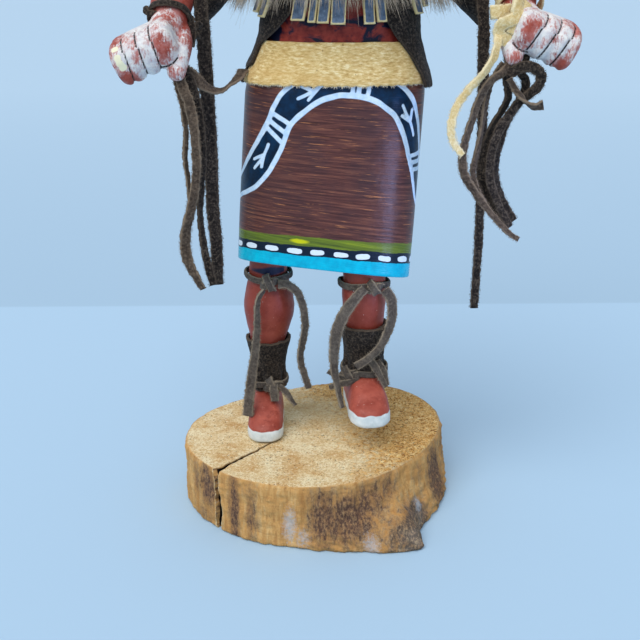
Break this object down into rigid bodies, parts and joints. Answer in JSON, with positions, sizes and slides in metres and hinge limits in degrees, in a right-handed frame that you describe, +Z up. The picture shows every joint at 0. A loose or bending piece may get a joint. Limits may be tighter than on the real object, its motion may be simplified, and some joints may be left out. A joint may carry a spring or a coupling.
{
  "type": "kachina doll",
  "caption": "Carved and painted wooden dancer doll in a kilt and helmet mask, dressed in suede laces and a fur collar, on a log-slice base.",
  "frame": {"origin": "on the underside of the log slice, at the middle of its outline", "axes": "+Z up along the standing figure, -Y the way the figure faces, so its own right hand is on the -X side and +X is its left"},
  "size_m": [0.1615, 0.103, 0.32],
  "materials": {
    "log": "bare sanded log slice",
    "painted_body": "painted, satin",
    "painted_arm": "painted, satin, dry-brushed",
    "pale_suede": "rough suede",
    "brown_suede": "rough suede",
    "painted_leather": "painted, satin",
    "fur": "long soft fur",
    "feather": "feather"
  },
  "bodies": {
    "root": {"base": "log", "figure": "painted_body", "right_arm": "painted_arm", "left_arm": "painted_arm", "belt": "pale_suede", "vest": "brown_suede", "tab_collar": "painted_leather", "fur_ruff": "fur", "feather_crest": "feather", "right_cuff": "brown_suede", "left_cuff": "brown_suede", "right_knee_tie": "brown_suede", "left_knee_tie": "brown_suede", "right_ankle_tie": "brown_suede", "left_ankle_tie": "brown_suede", "right_sleeve": "brown_suede", "left_sleeve": "brown_suede", "right_wrist_tie": "brown_suede", "left_wrist_knot": "pale_suede", "left_bundle_tie": "brown_suede", "right_arm_lace": "brown_suede", "right_hand_lace_front": "brown_suede", "right_hand_lace_back": "brown_suede", "right_hand_lace_outer": "brown_suede", "hip_lace": "brown_suede", "left_arm_lace": "brown_suede", "left_hand_lace_loop": "brown_suede", "left_hand_lace_inner": "brown_suede", "left_hand_lace_outer": "brown_suede", "left_hand_lace_front": "brown_suede", "left_hand_lace_thin": "brown_suede", "pale_lace": "pale_suede", "right_knee_lace_outer": "brown_suede", "right_knee_lace_inner": "brown_suede", "left_knee_lace_inner": "brown_suede", "left_knee_lace_outer": "brown_suede"}
  },
  "joints": []
}
